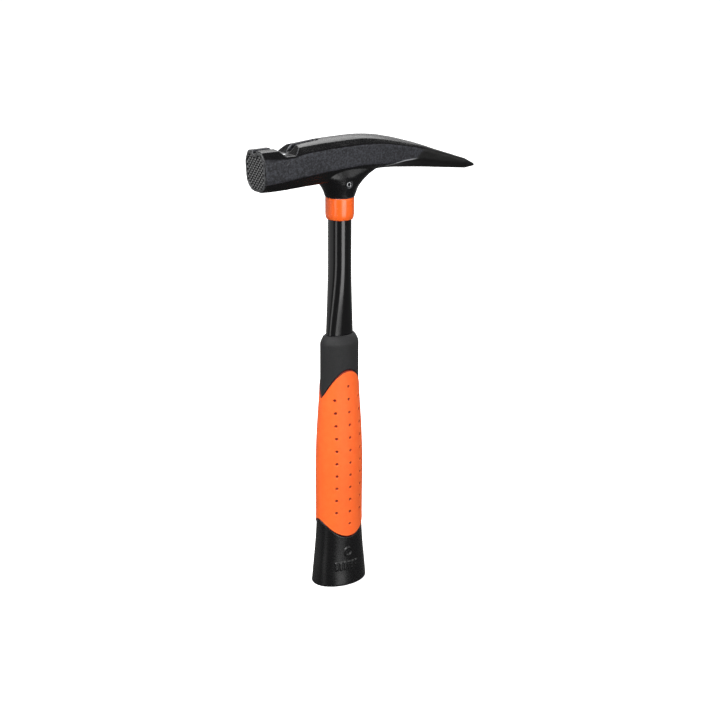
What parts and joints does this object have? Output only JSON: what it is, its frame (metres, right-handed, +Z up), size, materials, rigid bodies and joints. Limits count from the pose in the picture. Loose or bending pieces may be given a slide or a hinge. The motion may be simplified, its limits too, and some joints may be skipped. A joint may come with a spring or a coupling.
{
  "type": "roofing hammer",
  "caption": "Tubular-handled roofing hammer: forged head with waffled striking face, spike and magnetic nail holder, two-colour moulded grip.",
  "frame": {"origin": "centre of the flat bottom face of the butt, on the handle's axis", "axes": "+Z up the handle to the head, -X out of the striking face, +X along the spike, Y across the head"},
  "size_m": [0.1857, 0.0312, 0.3251],
  "materials": {
    "head_lacquer": "satin black lacquer over a forged surface",
    "tube_enamel": "gloss black enamel",
    "bright_steel": "bright",
    "collar_plastic": "gloss orange",
    "grip_orange": "soft matt orange with fine grain and dimples",
    "grip_black": "matt dark grey-black",
    "grip_hard": "semi-gloss black",
    "inner_plastic": "moulded"
  },
  "bodies": {
    "root": {"hammer_head": "head_lacquer", "nail_magnet": "bright_steel", "cross_pin": "bright_steel", "socket_liner": "inner_plastic", "collar_ring": "collar_plastic", "handle_tube": "tube_enamel", "tube_plug": "inner_plastic", "grip_core": "grip_hard", "grip_inlay": "grip_orange", "grip_cover": "grip_black"}
  },
  "joints": []
}
